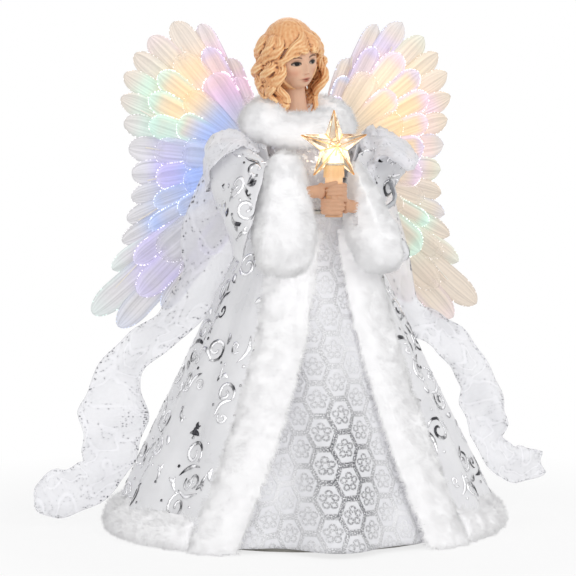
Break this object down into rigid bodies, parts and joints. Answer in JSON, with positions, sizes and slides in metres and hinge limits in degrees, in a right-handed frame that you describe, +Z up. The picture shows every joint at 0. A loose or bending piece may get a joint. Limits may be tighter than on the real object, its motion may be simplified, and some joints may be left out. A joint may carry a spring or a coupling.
{
  "type": "angel tree topper",
  "caption": "Doll angel in a fur-trimmed robe over a cone that slips on a tree's tip, with hinged lit feather wings and a star lamp in its hands.",
  "frame": {"origin": "middle of the foot of the cone, on the surface that it stands on", "axes": "+Z up; the angel faces -Y; +X is the viewer's right"},
  "size_m": [0.3467, 0.2445, 0.3281],
  "materials": {
    "card": "stiff white card",
    "white_plastic": "moulded, satin",
    "cell_label": "plain printed sleeve",
    "steel": "plated",
    "board": "green laminate",
    "switch_black": "moulded",
    "silver_cloth": "woven with silver thread",
    "satin": "white satin with silver foil scrolls",
    "brocade": "white brocade with silver outlines",
    "fur": "white short-pile fur",
    "sheer": "sheer organza with a lace figure",
    "skin": "painted casting",
    "hair": "painted casting",
    "lamp_stem": "translucent warm white",
    "bulb": "warm white lamp",
    "star": "clear moulded star",
    "film": "ribbed pearly film",
    "fibre": "clear light fibre"
  },
  "bodies": {
    "figure": {"support_cone": "card", "tree_socket": "card", "battery_box": "white_plastic", "bulb_holder": "white_plastic", "wing_bracket": "white_plastic", "torso": "white_plastic", "cell_1": "cell_label", "cell_2": "cell_label", "cell_3": "cell_label", "contact_spring_1": "steel", "contact_spring_2": "steel", "contact_spring_3": "steel", "contact_strip": "steel", "arm_wire_left": "steel", "arm_wire_right": "steel", "wing_pin_left": "steel", "wing_pin_right": "steel", "bracket_screw_1": "steel", "bracket_screw_2": "steel", "circuit_board": "board", "switch_housing": "switch_black", "bodice": "silver_cloth", "robe_yoke": "satin", "robe_left_front": "satin", "robe_back": "satin", "robe_right_front": "satin", "sleeve_left": "satin", "sleeve_right": "satin", "inner_skirt": "brocade", "fur_collar": "fur", "front_trim_left": "fur", "front_trim_right": "fur", "hem_trim": "fur", "cuff_left": "fur", "cuff_right": "fur", "scarf_tail_left": "sheer", "scarf_tail_right": "sheer", "scarf_puff": "sheer", "head": "skin", "hand_left": "skin", "hand_right": "skin", "hair": "hair", "lamp_stem": "lamp_stem", "star_bulb": "bulb"},
    "wing_left": {"wing_root_left": "white_plastic", "wing_lamp_left": "bulb", "wing_fibres_left": "fibre", "wing_outer_left": "film", "wing_middle_left": "film", "wing_inner_left": "film"},
    "wing_right": {"wing_root_right": "white_plastic", "wing_lamp_right": "bulb", "wing_fibres_right": "fibre", "wing_outer_right": "film", "wing_middle_right": "film", "wing_inner_right": "film"},
    "star_cover": {"star_cap": "star"},
    "box_cover": {"battery_cover": "white_plastic"},
    "switch": {"switch_slider": "switch_black"}
  },
  "joints": [
    {"name": "wing_left_fold", "type": "hinge", "parent": "figure", "child": "wing_left", "pos_m": [-0.015, 0.03401, 0.235], "axis": [0, 0, -1], "range_deg": [-3, 65]},
    {"name": "wing_right_fold", "type": "hinge", "parent": "figure", "child": "wing_right", "pos_m": [0.015, 0.03401, 0.235], "axis": [0, 0, 1], "range_deg": [-3, 65]},
    {"name": "star_cap_pull", "type": "slide", "parent": "figure", "child": "star_cover", "axis": [0, 0, 1], "range_m": [0, 0.03]},
    {"name": "battery_cover_slide", "type": "slide", "parent": "figure", "child": "box_cover", "axis": [0, 0, -1], "range_m": [0, 0.058]},
    {"name": "power_switch", "type": "slide", "parent": "figure", "child": "switch", "axis": [1, 0, 0], "range_m": [0, 0.004]}
  ]
}
